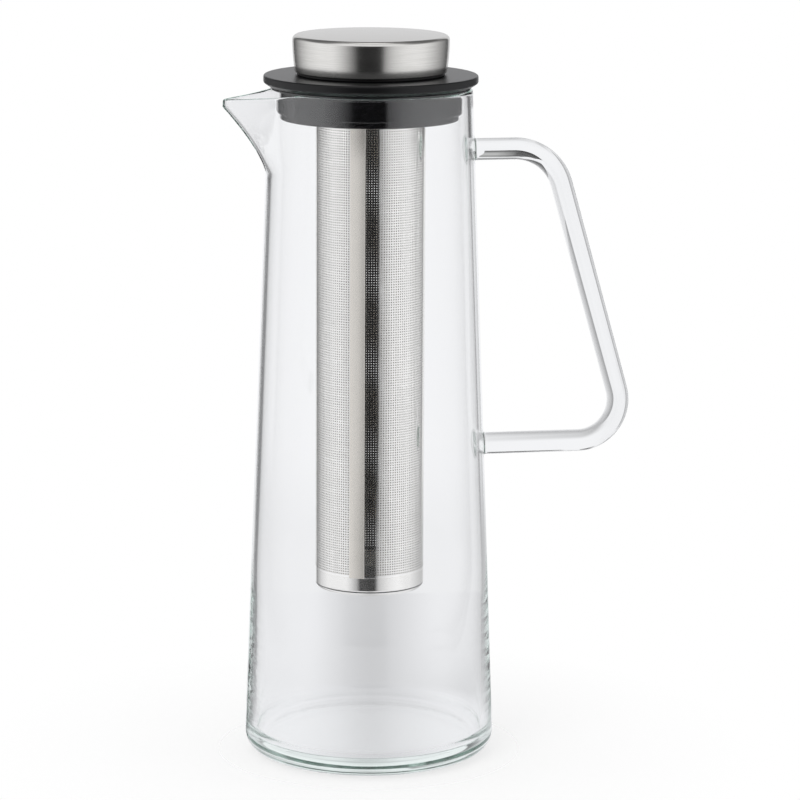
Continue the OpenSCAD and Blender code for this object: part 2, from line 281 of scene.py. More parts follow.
def light_path(tree):
    """How the light came: what looks here, and how often it was mirrored or let through."""
    return add_node(tree, "ShaderNodeLightPath").outputs


def own_place(tree):
    """The object's own coordinates, in metres."""
    return add_node(tree, "ShaderNodeTexCoord").outputs["Object"]


def place_in_mm(tree):
    """The same coordinates in millimetres."""
    return vector_maths(tree, "MULTIPLY", own_place(tree), (1000, 1000, 1000))


def parts(tree, vector):
    """The three numbers of a vector."""
    return add_node(tree, "ShaderNodeSeparateXYZ", {0: vector}).outputs[:]


def from_axis(tree, place):
    """Distance from the upright axis, sqrt(x^2 + y^2)."""
    return vector_maths(tree, "LENGTH", vector_maths(tree, "MULTIPLY", place, (1, 1, 0)))


# %% Colours, noise and bumps in a tree
def mixed(tree, factor, a, b):
    """A colour that runs from a to b with a factor."""
    return add_node(tree, "ShaderNodeMix", {"Factor": factor, "A": a, "B": b}, data_type="RGBA").outputs["Result"]


def blend_colours(tree, factor, low, high):
    """A ramp of colours from low to high."""
    ramp = add_node(tree, "ShaderNodeValToRGB", {"Fac": factor})
    ramp.color_ramp.elements[0].color = (*low, 1)
    ramp.color_ramp.elements[1].color = (*high, 1)
    return ramp.outputs["Color"]


def noise(tree, place, detail, roughness, scale=1.0):
    """Even noise from 0 to 1 at a place."""
    values = {"Vector": place, "Scale": scale, "Detail": detail, "Roughness": roughness}
    return add_node(tree, "ShaderNodeTexNoise", values).outputs["Fac"]


def drawn_noise(tree, place, scale, detail, roughness, turn=(0, 0, 0)):
    """Noise at a place that is scaled in each direction and then turned: drawn out along the smallest scale."""
    drawn = add_node(tree, "ShaderNodeMapping", {"Vector": place, "Rotation": turn, "Scale": scale})
    return noise(tree, drawn.outputs["Vector"], detail, roughness)


def bump(tree, height, depth_mm, strength):
    """The normal of a bump with a real depth in millimetres."""
    values = {"Height": height, "Strength": strength, "Distance": depth_mm * MM}
    return add_node(tree, "ShaderNodeBump", values).outputs["Normal"]


# %% Two node groups
def new_group(name, inputs, output):
    """An empty shader node group with float sockets: returns its tree and its given values."""
    group = bpy.data.node_groups.new(name, "ShaderNodeTree")
    for socket in inputs:
        group.interface.new_socket(socket, in_out="INPUT", socket_type="NodeSocketFloat")
    group.interface.new_socket(output, in_out="OUTPUT", socket_type="NodeSocketFloat")
    return group, add_node(group, "NodeGroupInput").outputs


def turned_streaks_group():
    """Noise that is fine along z + r and slow along x and y, so that it lies in rings on sides and tops alike."""
    group, given = new_group("turned_streaks", ["Rings", "Drift"], "Streak")
    place = place_in_mm(group)
    x, y, z = parts(group, place)
    along = maths(group, "ADD", z, from_axis(group, place))
    joined = add_node(group, "ShaderNodeCombineXYZ", {
        "X": both(group, x, given["Drift"]), "Y": both(group, y, given["Drift"]),
        "Z": both(group, along, given["Rings"]),
    })
    add_node(group, "NodeGroupOutput", {"Streak": noise(group, joined.outputs[0], 4.0, 0.65)})
    return group


def moulded_mottle_group():
    """Even noise in three directions, at a grain given in grains per millimetre."""
    group, given = new_group("moulded_mottle", ["Grain"], "Mottle")
    mottle = noise(group, place_in_mm(group), 3.0, 0.55, given["Grain"])
    add_node(group, "NodeGroupOutput", {"Mottle": mottle})
    return group


def group_result(tree, group, values):
    """The result of a group in a material, with its own input values."""
    return add_node(tree, "ShaderNodeGroup", values, node_tree=group).outputs[0]


turned_streaks = turned_streaks_group()
moulded_mottle = moulded_mottle_group()
print("groups:", [g.name for g in bpy.data.node_groups])

# %% [markdown]
# ## The glass body
# The body was blown in a mould, so its wall is an even skin with a rounded rim, and the glass is
# thicker towards the heavy foot. The spout was pulled by hand out of the soft rim. One profile runs
# from the middle of the foot up the outside, over the rim and down the inside to the floor. Carried
# round the axis it gives the plain body, and a smooth push along one direction pulls out the spout.

# %% Values of the glass, in mm
body_h, foot_r, rim_r, wall = 266.0, 50.0, 39.9, 2.2
foot_wall, floor_t, foot_corner_r, floor_corner_r, thick_z = 4.0, 7.2, 8.0, 5.0, 70.0
spout_reach, spout_z, lip_z, spout_dip = 18.4, 232.0, 259.7, 3.3
spout_half_w, channel_half_w, channel_lift, tip_soft = 22.0, 19.5, 0.5, 2.4
lip_thinning = 1.0


def wall_r(z):
    """Outer radius of the straight tapered wall at a height."""
    return foot_r - (foot_r - rim_r) * z / body_h


def spout_share(y, half_w):
    """(1 - d(y) / d(w)) ^ 1.8 with d(y) = sqrt(y^2 + soft^2) - soft: 1 at the lip, 0 at the half width w."""
    away = np.sqrt(y**2 + tip_soft**2) - tip_soft
    return np.clip(1 - away / (math.hypot(half_w, tip_soft) - tip_soft), 0, 1) ** 1.8


def spout_rise(z):
    """((z - start) / (lip - start)) ^ 1.4, held at 1 above the lip."""
    return np.clip((z - spout_z) / (lip_z - spout_z), 0, 1) ** 1.4


# %% Profile of the glass
def arc(mid_r, mid_z, radius, start, stop, steps):
    """Points of a circle from a start to a stop angle in degrees, as (r, z)."""
    t = np.radians(np.linspace(start, stop, steps))
    return np.stack([mid_r + radius * np.cos(t), mid_z + radius * np.sin(t)], axis=-1)


def straight(start, stop, rows):
    """Points between two points of the section, without its ends."""
    s = np.linspace(0, 1, rows + 2)[1:-1, None]
    return np.array(start) * (1 - s) + np.array(stop) * s


slope = (foot_r - rim_r) / body_h
norm = math.hypot(1, slope)
round_r = wall / 2 / norm
round_z = body_h - round_r
foot_mid_r = foot_r - (slope + norm) * foot_corner_r
thick_in_r = wall_r(thick_z) - wall
floor_in_r = wall_r(floor_t) - foot_wall
in_slope = (floor_in_r - thick_in_r) / (thick_z - floor_t)
floor_mid_r = floor_in_r - (in_slope + math.hypot(1, in_slope)) * floor_corner_r
lean, in_lean = math.degrees(math.atan(slope)), math.degrees(math.atan(in_slope))

foot_round = arc(foot_mid_r, foot_corner_r, foot_corner_r, -90, lean, 14)
rim_round = arc(wall_r(round_z) - wall / 2, round_z, round_r, lean, 180 + lean, 15)
floor_round = arc(floor_mid_r, floor_t + floor_corner_r, floor_corner_r, in_lean, -90, 14)
outer_start, inner_start = (wall_r(spout_z), spout_z), (wall_r(spout_z) - wall, spout_z)
thick_end = (thick_in_r, thick_z)
outside = np.concatenate([
    straight((0, 0), foot_round[0], 5), foot_round, straight(foot_round[-1], outer_start, 24),
    [outer_start], straight(outer_start, rim_round[0], 30),
])
inside = np.concatenate([
    straight(rim_round[-1], inner_start, 30), [inner_start], straight(inner_start, thick_end, 16),
    [thick_end], straight(thick_end, floor_round[0], 8), floor_round, straight(floor_round[-1], (0, floor_t), 5),
])
glass_section = np.concatenate([outside, rim_round, inside])
over_rim = (1 - np.cos(np.radians(np.linspace(0, 180, len(rim_round))))) / 2
inner_share = np.concatenate([np.zeros(len(outside)), over_rim, np.ones(len(inside))])
print("glass section:", glass_section.shape, "wall", wall, "mm, floor", floor_t, "mm")


# %% Body with its pulled spout
def pulled_glass(cols=256):
    """The turned section at angle t from the spout, x = -r cos t - push and y = r sin t, where the push is
    reach * rise(z) * share(y), mixed between its outer and inner form over the rim, and the rim dips with
    the share. The angles lie closer together at the spout."""
    u = np.linspace(-1, 1, cols, endpoint=False)
    t = np.pi * (0.55 * u + 0.45 * u**3)
    r, z, mix = (a[:, None] for a in (glass_section[:, 0], glass_section[:, 1], inner_share))
    x, y = -r * np.cos(t), r * np.sin(t)
    front = np.cos(t) > 0
    dip = spout_dip * np.sqrt(spout_share(y, spout_half_w)) * front
    z = np.where(z > spout_z, spout_z + (z - spout_z) * (body_h - dip - spout_z) / (body_h - spout_z), z)
    outer = spout_rise(z) * spout_share(y, spout_half_w)
    inner = spout_rise(z - channel_lift) * spout_share(y, channel_half_w)
    x = x - ((1 - mix) * spout_reach * outer + mix * (spout_reach + lip_thinning) * inner) * front
    return xyz(x, y, z)


glass_wall = pod_piece("glass_wall", pulled_glass(), (0, 0, 0), (0, 0, floor_t),
                       "carafe", "glass_body", "clear_glass")

# %% [markdown]
# ## The rod handle
# The handle is solid glass rod, bent in a flame to a straight grip that leans out towards its lower
# end, and fused to the wall at both roots, where the soft glass spreads into a small flare. A circle
# carried along the bent line gives the rod. The line stays in one plane, so its frame is simple: one
# direction across lies in the plane and the other is the Y axis.

# %% Line of the handle, and the rod along it
rod_r, root_flare, root_sink, root_reach = 4.35, 1.5, 0.06, 9.0
top_drop, handle_span, top_reach, low_reach = 24.6, 118.3, 31.9, 60.8
top_z, low_z = body_h - top_drop, body_h - top_drop - handle_span
top_x, low_x = wall_r(top_z) + top_reach, wall_r(low_z) + low_reach
top_bend_r, low_bend_r = 20.0, 16.1
grip_lean = math.degrees(math.atan((low_x - top_x) / (top_z - low_z)))
top_bend_x = top_x - top_bend_r * math.tan(math.radians(90 - grip_lean) / 2)
low_bend_x = low_x - low_bend_r * math.tan(math.radians(90 + grip_lean) / 2)
top_root, low_root = (wall_r(top_z), top_z), (wall_r(low_z), low_z)
top_bend = arc(top_bend_x, top_z - top_bend_r, top_bend_r, 90, grip_lean, 22)
low_bend = arc(low_bend_x, low_z + low_bend_r, low_bend_r, grip_lean, -90, 28)


def root_points(root, bend_end):
    """Points from a root to its bend that lie close together in the flare."""
    s = np.linspace(0, 1, 26)[:, None] ** 1.7
    return np.array(root) * (1 - s) + np.array(bend_end) * s


handle_line = np.concatenate([
    root_points(top_root, top_bend[0])[:-1], top_bend, straight(top_bend[-1], low_bend[0], 20),
    low_bend, root_points(low_root, low_bend[-1])[-2::-1],
])


def rod_along(line, cols=48):
    """Circle r (cos t N + sin t Y) along the line, with N across the line in its plane. Near a root the radius
    grows by f - sqrt(f^2 - (f - d)^2) at a distance d, a quarter round of radius f, and the end is laid onto
    the wall and sunk a little into it."""
    ahead = np.gradient(line, axis=0)
    ahead /= np.linalg.norm(ahead, axis=1, keepdims=True)
    away = line[:, 0] - wall_r(line[:, 1])
    near = np.clip(root_flare - away, 0, root_flare)
    radius = rod_r + root_flare - np.sqrt(root_flare**2 - near**2)
    t = full_turn(cols)
    across = np.stack([-ahead[:, 1], ahead[:, 0]], axis=-1)
    x = line[:, 0, None] + radius[:, None] * across[:, 0, None] * np.cos(t)
    z = line[:, 1, None] + radius[:, None] * across[:, 1, None] * np.cos(t)
    y = radius[:, None] * np.sin(t)
    onto_wall = np.sqrt(wall_r(z) ** 2 - y**2) - wall_r(line[:, 1])[:, None]
    x = x + onto_wall * np.clip(1 - away / root_reach, 0, 1)[:, None] ** 2
    x = x - root_sink * (away < 0.01)[:, None]
    return xyz(x, y, z)


rod_ends = [(x - root_sink, 0, z) for x, z in (top_root, low_root)]
rod_handle = pod_piece("rod_handle", rod_along(handle_line), *rod_ends,
                       "carafe", "glass_handle", "clear_glass")
print("grip leans", round(grip_lean, 1), "degrees")

# %% [markdown]
# ## Clear glass
# Borosilicate glass is nearly colourless through a thin wall and faintly green where the light runs
# along it, at the rim and round the foot. A refracting shader gives the surface, and absorption inside
# gives the tint by itself, stronger where the path is longer. Blown glass is never quite even, so a
# slow noise tilts the surface a little and bends the reflections.

# %% Glass finish
fused_depth, root_circle_r = 0.3, rod_r + 0.8 * root_flare


def fused_roots(tree, place):
    """1 on the faces where the rod and the wall are one glass: near the wall's outside, inside a root's circle."""
    less_wall_r = maths(tree, "MULTIPLY_ADD", parts(tree, place)[2], slope, -foot_r * MM)
    near_wall = between(tree, maths(tree, "ADD", from_axis(tree, place), less_wall_r), 0.0, fused_depth * MM)
    circles = [
        between(tree, vector_maths(tree, "DISTANCE", place, (x * MM, 0, z * MM)), 0.0, root_circle_r * MM)
        for x, z in (top_root, low_root)
    ]
    return both(tree, either(tree, *circles), near_wall)


def clear_glass():
    """A refracting surface with slow waves, slanted streaks at one side of the foot, and absorption inside."""
    made, tree = empty_material("clear_glass")
    place = own_place(tree)
    x, _, z = parts(tree, place)
    waves = drawn_noise(tree, place, (55, 55, 9), 1.5, 0.4)
    streaks = drawn_noise(tree, place, (90, 90, 260), 1.0, 0.4, turn=(0.5, 0.4, 0))
    near_foot = spread(tree, z, 2.0, 0.0, 0.03, 0.085, soft=True)
    spout_side = spread(tree, x, 0.0, 1.0, -0.02, -0.04)
    drawn_out = both(tree, both(tree, streaks, near_foot), spout_side)
    output = principled(tree, {
        "Base Color": blend_colours(tree, waves, (0.98, 0.982, 0.982), (0.997, 0.998, 0.998)),
        "Roughness": 0.0, "IOR": 1.47, "Transmission Weight": 1.0,
        "Alpha": maths(tree, "SUBTRACT", 1.0, fused_roots(tree, place)),
        "Normal": bump(tree, maths(tree, "ADD", waves, drawn_out), 0.5, 0.06),
    })
    inside = add_node(tree, "ShaderNodeVolumeAbsorption", {"Color": (0.76, 0.92, 0.86, 1), "Density": 4.5})
    tree.links.new(inside.outputs["Volume"], output.inputs["Volume"])
    return made


dress(clear_glass(), glass_wall, rod_handle)

# %% [markdown]
# ## The lid ring and its seal
# The ring is one black moulding: a flange that covers the rim, and two sleeves below it, the inner one
# a bore for the infuser. A stepped silicone seal is pushed onto the outer sleeve, and its lip lies
# between the flange and the glass. Both are turned sections. The flange has a satin top and a narrow
# bright edge where its round catches the light.

# %% Lid values and pieces
deck_z, flange_z, sleeve_z, seal_z, lip_seat_z = 271.5, 266.9, 255.3, 254.3, 266.1
flange_r, seal_lip_r, seal_r, sleeve_r, ring_wall = 42.0, 39.3, 35.7, 31.6, 1.8
bore_r, recess_r, recess_z, flange_edge_h = 22.0, 27.9, 270.2, 2.8
seal_step_w, seal_step_h = 1.2, 2.4

flange_ring = turned_ring("flange_ring", [
    (bore_r, sleeve_z), (bore_r + ring_wall, sleeve_z), (bore_r + ring_wall, flange_z),
    (sleeve_r - ring_wall, flange_z), (sleeve_r - ring_wall, sleeve_z), (sleeve_r, sleeve_z),
    (sleeve_r, flange_z), (seal_lip_r, flange_z), (flange_r, deck_z - flange_edge_h), (flange_r, deck_z),
    (recess_r, deck_z), (recess_r, recess_z), (bore_r, recess_z),
], [0.3] * 6 + [0.2, 0.4, 0.5, 0.85, 0.3, 0.2, 0.3], "lid", "lid_ring", "black_plastic", cols=256)

stepped_seal = turned_ring("stepped_seal", [
    (sleeve_r - ring_wall, seal_z), (seal_r - seal_step_w, seal_z), (seal_r - seal_step_w, seal_z + seal_step_h),
    (seal_r, seal_z + seal_step_h), (seal_r, lip_seat_z), (seal_lip_r, lip_seat_z), (seal_lip_r, flange_z),
    (sleeve_r, flange_z), (sleeve_r, sleeve_z), (sleeve_r - ring_wall, sleeve_z),
], [0.4, 0.5, 0.25, 0.5, 0.3, 0.3, 0.3, 0.1, 0.1, 0.1], "lid", "neck_seal", "grey_silicone", cols=256)

# %% [markdown]
# ## Black moulding and silicone
# The moulding came from a finely blasted mould, so its black is satin and breaks the light a little.
# Silicone is softer to look at but has a smooth skin that mirrors broad lights. Both are nearly black,
# with a mottle that moves the gloss more than the colour.

# %% Plastic and silicone finishes
def moulded(name, low, high, grain, rough, bump_mm, gloss):
    """A moulded surface: its mottle mixes two colours and two roughnesses, and gives a slight bump."""
    made, tree = empty_material(name)
    mottle = group_result(tree, moulded_mottle, {"Grain": grain})
    principled(tree, {
        "Base Color": blend_colours(tree, mottle, low, high), "Roughness": spread(tree, mottle, *rough),
        "Specular IOR Level": gloss, "Normal": bump(tree, mottle, bump_mm, 0.35),
    })
    return made


black_plastic = moulded("satin_black_moulding", (0.002, 0.002, 0.0025), (0.005, 0.005, 0.0055),
                        2.2, (0.30, 0.38), 0.02, 0.30)
silicone = moulded("grey_silicone", (0.003, 0.003, 0.004), (0.009, 0.009, 0.010),
                   0.8, (0.05, 0.08), 0.0015, 0.9)
dress(black_plastic, flange_ring)
dress(silicone, stepped_seal)

# %% [markdown]
# ## The infuser
# The tube is a thin steel sheet with a fine grid of etched square holes, rolled up and closed along a
# plain lap. A pressed base closes it below, and a collar hangs it in the lid ring. Thousands of holes
# would make a very heavy mesh, so the sheet is a thin closed tube whose own map counts the holes, and
# the finish opens them.

# %% Infuser values and turned pieces
tube_r, tube_t, tube_z, mesh_z, mesh_top_z = 21.6, 0.5, 66.8, 74.5, 262.0
collar_in_r, lap_r, lap_h, collar_t, collar_r, base_t = 20.6, 21.0, 3.0, 1.2, tube_r + 5.9, 1.0

hanging_collar = turned_ring("hanging_collar", [
    (collar_in_r, mesh_top_z - lap_h), (lap_r, mesh_top_z - lap_h), (lap_r, mesh_top_z), (tube_r, mesh_top_z),
    (tube_r, deck_z - collar_t), (collar_r, deck_z - collar_t), (collar_r, deck_z), (collar_in_r, deck_z),
], [0.1, 0.1, 0.05, 0.15, 0.4, 0.3, 0.4, 0.5], "infuser", "infuser_collar", "steel")

pressed_base = turned_pod("pressed_base", [
    (0, tube_z), (tube_r, tube_z), (tube_r, mesh_z), (lap_r, mesh_z), (lap_r, mesh_z + lap_h),
    (collar_in_r, mesh_z + lap_h), (collar_in_r, tube_z + base_t), (0, tube_z + base_t),
], [0.1, 2.4, 0.05, 0.05, 0.1, 0.1, 1.8, 0.1], "infuser", "infuser_base", "steel")

# %% Etched sheet with its own map
holes_round = 136
hole_pitch = 2 * math.pi * tube_r / holes_round
rows_up = (mesh_top_z - mesh_z) / hole_pitch
seam_at, seam_half, lap_flat, lap_tilt = math.radians(246.6), math.radians(7.9), 0.6, 0.05


def sheet_angles():
    """Angles round the tube: even steps, with close points at both edges of the flat lap, which stay crisp."""
    guard = math.radians(0.12)
    inner = seam_half - 2 * guard
    flat = np.concatenate([[-seam_half + guard], np.linspace(-inner, inner, 8), [seam_half - guard]])
    round_part = np.linspace(seam_half + guard, 2 * np.pi - seam_half - guard, 184)
    return seam_at + np.concatenate([flat, [seam_half], round_part, [2 * np.pi - seam_half]])


def etched_sheet():
    """The rectangle between radii R - t and R, turned to a ring. Across the lap the radius goes most of the way
    from R to R cos(h) / cos(t), a flat of half angle h, and rises by R k (h + t) to the free edge. Its map
    counts holes: round and up."""
    corners = [(tube_r - tube_t, mesh_z), (tube_r, mesh_z), (tube_r, mesh_top_z), (tube_r - tube_t, mesh_top_z)]
    section = softened(corners, 0.1, steps=3)
    t = sheet_angles()
    from_lap = np.where(t - seam_at > np.pi, t - seam_at - 2 * np.pi, t - seam_at)
    chord = math.cos(seam_half) / np.cos(np.clip(from_lap, -seam_half, seam_half))
    lapped = lap_flat * chord + 1 - lap_flat + lap_tilt * (seam_half + from_lap)
    flatten = np.where(np.abs(from_lap) < seam_half, lapped, 1.0)
    r, z = section[:, 0][:, None] * flatten, section[:, 1][:, None]
    grid = xyz(r * np.cos(t), r * np.sin(t), z)
    piece = ring_piece("etched_tube", grid, "infuser", "infuser_mesh", "etched_steel")
    mesh, cols = piece.data, len(t)
    corner_points = np.zeros(len(mesh.loops), int)
    mesh.loops.foreach_get("vertex_index", corner_points)
    row, col = corner_points // cols, corner_points % cols
    face_col = col.reshape(-1, 4)
    wraps = face_col.max(axis=1) - face_col.min(axis=1) > 1
    face_col = np.where(wraps[:, None] & (face_col == 0), cols, face_col)
    turns = (np.append(t, t[0] + 2 * np.pi) - seam_at) / (2 * np.pi)
    up_count = (section[row, 1] - mesh_z) / hole_pitch
    layer = mesh.uv_layers.new(name="hole_count")
    counts = np.stack([turns[face_col.reshape(-1)] * holes_round, up_count], axis=-1)
    layer.data.foreach_set("uv", counts.astype(np.float32).ravel())
    return piece


etched_tube = etched_sheet()
print("holes:", holes_round, "round and", int(rows_up), "up, pitch", round(hole_pitch, 3), "mm")

# %% [markdown]
# ## Steel of the infuser
# Etching leaves a slightly grainy grey sheet, and the base and the collar were polished. The grid is
# the fraction of the hole count: a hole is open where both fractions lie near the middle of a cell.
# The lap of the seam, and a narrow border at both ends of the sheet, have no holes.

# %% Etched and polished steel
# the last two numbers place a narrow painted shade line in the crease of the pressed base
hole_share, hole_shade_share, crease_shade_up, crease_shade_half = 0.42, 0.62, 1.9, 0.25


def cell_middles(tree, across, up, share):
    """1 where the fractions of both counts lie within a share of the middle of their cell."""
    sides = [between(tree, maths(tree, "FRACT", count), 0.5, share / 2) for count in (across, up)]
    return both(tree, *sides)


def rolling_lines(tree, count):
    """Faint plaid that rolling leaves on the sheet: noise drawn out along the rows, plus along the columns."""
    layers = [drawn_noise(tree, count, scale, 2.0, 0.6) for scale in ((0.06, 0.55, 1), (0.55, 0.03, 1))]
    return spread(tree, maths(tree, "ADD", *layers), -0.6, 0.5)


def etched_steel():
    """A grey sheet with open holes, a painted shade round each of them, and a plain bright lap along the seam."""
    made, tree = empty_material("etched_steel")
    count = add_node(tree, "ShaderNodeUVMap", uv_map="hole_count").outputs["UV"]
    across, up, _ = parts(tree, count)
    seam_cells = seam_half / (2 * math.pi) * holes_round
    round_mesh = between(tree, across, holes_round / 2, holes_round / 2 - seam_cells)
    open_area = both(tree, between(tree, up, rows_up / 2, rows_up / 2 - 1), round_mesh)
    hole = both(tree, open_area, cell_middles(tree, across, up, hole_share))
    # painted shade: a darker ring round each hole stands in for the shade at its edge
    rim = both(tree, open_area, cell_middles(tree, across, up, hole_shade_share))
    lines = both(tree, rolling_lines(tree, count), open_area)
    sheet = blend_colours(tree, maths(tree, "ADD", rim, lines), (0.99, 0.98, 0.965), (0.77, 0.76, 0.74))
    mottle = group_result(tree, moulded_mottle, {"Grain": 3.0})
    principled(tree, {
        "Base Color": mixed(tree, round_mesh, (0.95, 0.91, 0.85, 1), sheet), "Metallic": 1.0,
        "Roughness": spread(tree, mottle, 0.04, 0.09), "Alpha": maths(tree, "SUBTRACT", 1.0, hole),
    })
    return made


def crease_shade_line(tree, colour, crease_shade_z):
    """The colour, darkened in a narrow line at a height: painted shade in the crease where the base's disc meets
    its band.
    """
    line = between(tree, parts(tree, own_place(tree))[2], crease_shade_z * MM, crease_shade_half * MM)
    return mixed(tree, line, colour, (0.14, 0.14, 0.14, 1))


def ringed_steel(name, low, high, rings, drift, rough, bump_mm, edge=1.0, crease_shade_z=None):
    """Turned steel: its streaks mix two colours and two roughnesses, and give a slight bump. Given a height, a
    narrow painted shade line darkens the colour there.
    """
    made, tree = empty_material(name)
    streak = group_result(tree, turned_streaks, {"Rings": rings, "Drift": drift})
    colour = blend_colours(tree, streak, low, high)
    principled(tree, {
        "Base Color": crease_shade_line(tree, colour, crease_shade_z) if crease_shade_z else colour, "Metallic": 1.0,
        "Roughness": spread(tree, streak, *rough), "Specular Tint": (edge, edge, edge, 1),
        "Normal": bump(tree, streak, bump_mm, 0.3),
    })
    return made


polish = ((0.93, 0.92, 0.90), (0.97, 0.96, 0.94), 1.2, 0.03, (0.02, 0.045), 0.001)
dress(etched_steel(), etched_tube)
dress(ringed_steel("polished_steel", *polish), hanging_collar)
# the pressed base's finish carries a narrow painted shade line in its crease
dress(ringed_steel("steel_with_crease_shade", *polish, crease_shade_z=tube_z + crease_shade_up), pressed_base)

# %% [markdown]
# ## The cap
# The cap is a drawn steel shell with a softly rounded edge and a nearly flat crown, pushed over a black
# moulded core. The core's plug has a silicone gasket that grips the collar. The shell was brushed on a
# lathe, so its streaks lie in rings on the side and on the top.

# %% Cap pieces
cap_r, cap_foot_r, cap_z, cap_top_z, cap_t = 30.7, 29.8, 272.7, 287.9, 0.8
core_z, core_r, core_top_z, plug_r, plug_z = 271.6, 28.9, 286.2, 19.6, 263.6
groove_r, groove_z, gasket_r, gasket_h, plug_wall, core_t = 18.4, 266.4, 20.3, 2.4, 2.6, 2.0


def drawn_shell(cols=256):
    """Half section of the shell: crown z = top - h (r / R)^2, a rounded edge, and a side that narrows downwards
    by s^1.8, followed on the inside by the same line taken in by the metal's thickness."""
    edge_r, edge_start, crown, hem_r = 1.9, 86, 0.8, 0.4
    r = np.linspace(0.4, 1, 14) * (cap_r - edge_r)
    top = np.stack([r, cap_top_z - crown * (r / (cap_r - edge_r)) ** 2], axis=-1)
    edge = arc(cap_r - edge_r, cap_top_z - crown - edge_r, edge_r, edge_start, 0, 12)
    s = np.linspace(0, 1, 16)[1:-1, None]
    side = edge[-1] - np.hstack([(cap_r - cap_foot_r) * s**1.8, (edge[-1][1] - cap_z - 0.3) * s])
    hem = arc(cap_foot_r - hem_r, cap_z + hem_r, hem_r, 0, -180, 9)
    inner_side = straight((cap_foot_r - cap_t, cap_z + 0.5), (cap_r - cap_t, edge[-1][1]), 6)
    inner_edge = arc(cap_r - edge_r, cap_top_z - crown - edge_r, edge_r - cap_t, 0, edge_start, 8)
    inner_top = top[::-1] - (0, cap_t)
    section = np.concatenate([top, edge, side, hem, inner_side, inner_edge, inner_top])
    first, last = (0, 0, cap_top_z), (0, 0, cap_top_z - cap_t)
    return pod_piece("cap_shell", turned_grid(section, cols), first, last, "cap", "steel_cap", "satin_steel")


cap_shell = drawn_shell()
core_moulding = turned_pod("core_moulding", [
    (0, core_z), (plug_r - plug_wall, core_z), (plug_r - plug_wall, plug_z), (plug_r, plug_z), (plug_r, groove_z),
    (groove_r, groove_z), (groove_r, groove_z + gasket_h), (plug_r, groove_z + gasket_h), (plug_r, core_z),
    (core_r, core_z), (core_r, core_top_z), (core_r - core_t, core_top_z), (core_r - core_t, core_z + core_t),
    (0, core_z + core_t),
], [0.1, 0.4, 0.5, 0.5, 0.2, 0.1, 0.1, 0.2, 0.2, 0.3, 0.3, 0.3, 0.4, 0.1], "cap", "cap_core", "black_plastic")
plug_gasket = turned_ring("plug_gasket", [
    (groove_r, groove_z), (gasket_r, groove_z), (gasket_r, groove_z + gasket_h), (groove_r, groove_z + gasket_h),
], [0.1, 0.8, 0.8, 0.1], "cap", "cap_gasket", "grey_silicone")

# %% Cap finishes
brushed_steel = ringed_steel("brushed_steel", (0.60, 0.59, 0.56), (0.90, 0.89, 0.86),
                             5.0, 0.06, (0.15, 0.24), 0.012, edge=0.8)
dress(brushed_steel, cap_shell)
dress(black_plastic, core_moulding)
dress(silicone, plug_gasket)

# %% [markdown]
# ## The stage
# Glass is photographed between white walls with dark gaps, which draw the thin dark outlines of the
# glass and the dark lines on the metal. Here a round wall that only mirrors and glass can see stands
# about the object, white behind, with a dark gap at both sides and a low dark slit at the camera. Only
# mirrors, the rod and the edge of the wall show them: light that has gone straight through both walls
# meets white, so the body stays clear from every side.

# %% Sheets of the stage
def stage_sheet(name, points, faces):
    """A stage mesh in metres that isn't part of the object."""
    made = mesh_object(name, points, faces.tolist())
    return made


def stage_disc(name, radius, height, cols=96):
    """A flat round stage sheet: (R cos t, R sin t, z)."""
    t = full_turn(cols)
    return stage_sheet(name, xyz(radius * np.cos(t), radius * np.sin(t), height), np.arange(cols)[None, :])


def mirrors_only(sheet, glossy=True):
    """Hides a sheet from the camera and from plain surfaces, so that only mirrors and glass see it."""
    sheet.visible_camera = sheet.visible_diffuse = sheet.visible_shadow = sheet.visible_volume_scatter = False
    sheet.visible_glossy = glossy


def glow(tree, strength, colour=(1, 1, 1, 1)):
    """A sheet's own light."""
    return add_node(tree, "ShaderNodeEmission", {"Color": colour, "Strength": strength}).outputs["Emission"]


def mixed_shader(tree, factor, a, b):
    """A surface that runs from shader a to shader b with a factor."""
    return add_node(tree, "ShaderNodeMixShader", {"Fac": factor, 1: a, 2: b}).outputs["Shader"]


# %% [markdown]
# ### Panels by angle
# Each list holds an angle from the camera's side in degrees, to the right above zero, and a brightness
# there. The panels differ by what looks at them: mirrors, glass below the lid, or the rod's left side,
# low down or high up, on the floor, and straight through both walls.

# %% Brightness of the panels
panels = [
    (-180, 0.94), (-151, 0.94), (-149, 0.06), (-142, 0.14), (-118, 0.6), (-100, 0.86), (-78, 1.0), (-55, 1.0),
    (-45, 0.82), (-35, 0.56), (-26, 0.28), (-20, 0.1), (-18.5, 0.02), (16.5, 0.02), (18, 0.36), (24, 0.56),
    (33, 0.78), (48, 0.96), (66, 1.0), (80, 0.95), (107, 0.58), (124, 0.36), (142, 0.12), (147, 0.06),
    (149, 0.94), (180, 0.94),
]
glass_panels = [
    (-180, 0.94), (-149.5, 0.94), (-148, 0.12), (-138, 0.3), (-118, 0.66), (-100, 0.9), (-78, 1.0), (-58, 1.0),
    (-45, 0.88), (-30, 0.66), (-20, 0.3), (-18.5, 0.02), (16.5, 0.02), (18, 0.4), (24, 0.6), (33, 0.82),
    (48, 1.0), (85, 1.0), (105, 0.86), (119, 0.72), (132, 0.52), (140, 0.3), (141, 0.94), (180, 0.94),
]
low_panels = [
    (-180, 0.9), (-149.5, 0.9), (-148, 0.14), (-138, 0.3), (-118, 0.7), (-95, 0.96), (-48, 1.0), (-42, 0.9),
    (-35, 0.72), (-26, 0.45), (-18.5, 0.05), (11, 0.03), (15, 0.3), (18, 0.55), (24, 0.7), (41, 0.9), (60, 1.0),
    (92, 0.9), (105, 0.75), (120, 0.62), (139, 0.5), (150, 0.56), (160, 0.7), (170, 0.86), (180, 0.9),
]
high_panels = [
    (-180, 0.15), (-100, 0.15), (-60, 0.4), (-30, 0.85), (0, 1.0), (30, 0.85), (60, 0.4), (100, 0.15), (180, 0.15),
]
